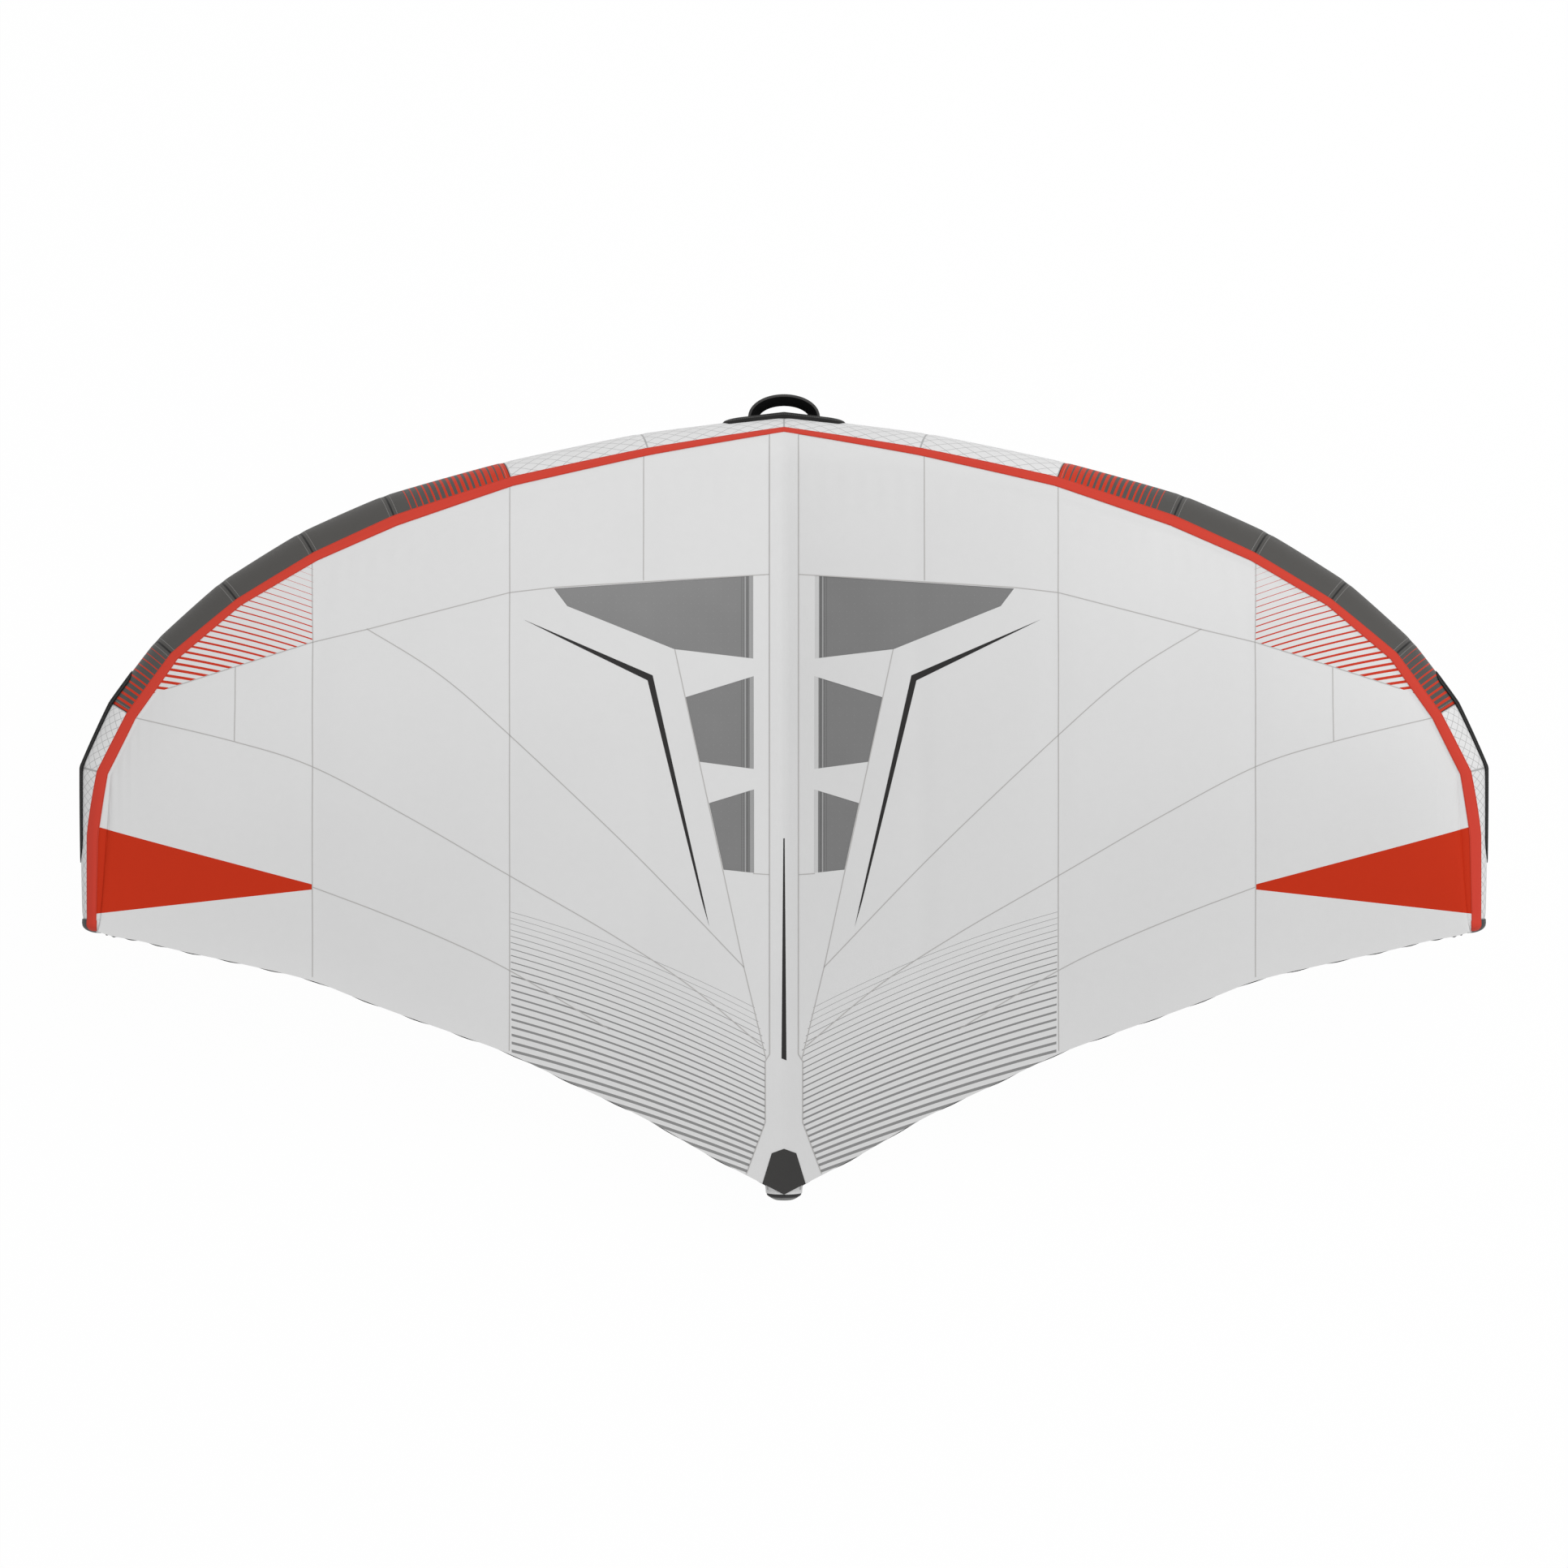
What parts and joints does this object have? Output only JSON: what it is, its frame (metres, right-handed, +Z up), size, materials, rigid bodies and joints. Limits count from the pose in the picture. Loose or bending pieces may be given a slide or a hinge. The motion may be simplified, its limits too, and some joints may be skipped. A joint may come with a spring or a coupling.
{
  "type": "inflatable wing foil wing",
  "caption": "Inflatable hand wing: swept, tapering tube with a cambered canopy behind it, windows, a centre strut with two hand grips below, and a nose handle.",
  "frame": {"origin": "middle of the front hand grip, where the wing is held", "axes": "+Z up through the canopy, +Y forward to the nose, +X along the span to the wing's right as seen from above with the nose up"},
  "size_m": [3.4406, 2.0457, 0.6208],
  "materials": {
    "light_cloth": "matt sailcloth",
    "dark_cloth": "matt sailcloth",
    "red_cloth": "matt sailcloth",
    "film": "smoked clear film",
    "bladder": "thin translucent film",
    "webbing": "woven webbing",
    "rubber": "matt rubber",
    "moulding": "moulded, satin",
    "foam": "soft foam",
    "alloy": "black anodised"
  },
  "bodies": {
    "wing": {"canopy_inner_left": "light_cloth", "canopy_inner_right": "light_cloth", "canopy_middle_left": "light_cloth", "canopy_middle_right": "light_cloth", "canopy_strut_strip": "light_cloth", "canopy_tip_left": "light_cloth", "canopy_tip_right": "light_cloth", "closing_band": "red_cloth", "grip_platform_front": "moulding", "grip_platform_rear": "moulding", "grip_sleeve_front": "foam", "grip_sleeve_rear": "foam", "grip_stand_front": "alloy", "grip_stand_rear": "alloy", "leash_loop": "webbing", "nose_handle_base": "webbing", "scuff_strip_left": "rubber", "scuff_strip_right": "rubber", "strut_bladder": "bladder", "strut_casing": "light_cloth", "strut_end_cap": "rubber", "tail_patch": "dark_cloth", "tip_cap_left": "dark_cloth", "tip_cap_right": "dark_cloth", "trailing_hem_left": "webbing", "trailing_hem_right": "webbing", "tube_bladder": "bladder", "tube_dark_inner_left": "dark_cloth", "tube_dark_inner_right": "dark_cloth", "tube_dark_middle_left": "dark_cloth", "tube_dark_middle_right": "dark_cloth", "tube_dark_outer_left": "dark_cloth", "tube_dark_outer_right": "dark_cloth", "tube_light_inner_left": "light_cloth", "tube_light_inner_right": "light_cloth", "tube_light_outer_left": "light_cloth", "tube_light_outer_right": "light_cloth", "tube_striped_inner_left": "red_cloth", "tube_striped_inner_right": "red_cloth", "tube_striped_outer_left": "red_cloth", "tube_striped_outer_right": "red_cloth", "tube_tip_front_left": "light_cloth", "tube_tip_front_right": "light_cloth", "tube_tip_rear_left": "light_cloth", "tube_tip_rear_right": "light_cloth", "valve_body_strut": "moulding", "valve_body_tube": "moulding", "window_front_left": "film", "window_front_right": "film", "window_middle_left": "film", "window_middle_right": "film", "window_rear_left": "film", "window_rear_right": "film", "zip_tape": "webbing"},
    "nose_handle": {"nose_handle": "webbing"},
    "tube_valve_cap": {"valve_cap_tube": "moulding"},
    "strut_valve_cap": {"valve_cap_strut": "moulding"},
    "tube_valve_flap": {"valve_flap_tube": "rubber"},
    "strut_valve_flap": {"valve_flap_strut": "rubber"},
    "zip_slider": {"zip_slider": "moulding"}
  },
  "joints": [
    {"name": "nose_handle_swing", "type": "hinge", "parent": "wing", "child": "nose_handle", "pos_m": [0, 0.57075, 0.18384], "axis": [1, 0, 0], "range_deg": [-30, 50], "stiffness_Nm_per_rad": 0.5},
    {"name": "tube_valve_cap_hinge", "type": "hinge", "parent": "wing", "child": "tube_valve_cap", "pos_m": [0.19332, 0.35573, 0.10824], "axis": [-0.1855, -0.8831, 0.4311], "range_deg": [0, 150]},
    {"name": "tube_valve_flap_hinge", "type": "hinge", "parent": "wing", "child": "tube_valve_flap", "pos_m": [0.17765, 0.36049, 0.11124], "axis": [0.1855, 0.8831, -0.4311], "range_deg": [0, 40], "stiffness_Nm_per_rad": 0.002},
    {"name": "strut_valve_cap_hinge", "type": "hinge", "parent": "wing", "child": "strut_valve_cap", "pos_m": [-0.05392, 0.24106, 0.11696], "axis": [-0.866, -0.0003, 0.5], "range_deg": [0, 150]},
    {"name": "strut_valve_flap_hinge", "type": "hinge", "parent": "wing", "child": "strut_valve_flap", "pos_m": [-0.05045, 0.2562, 0.12297], "axis": [0.866, 0.0003, -0.5], "range_deg": [0, 40], "stiffness_Nm_per_rad": 0.002},
    {"name": "zip_slide", "type": "slide", "parent": "wing", "child": "zip_slider", "axis": [0, 0.9994, -0.0344], "range_m": [0, 0.141]}
  ]
}
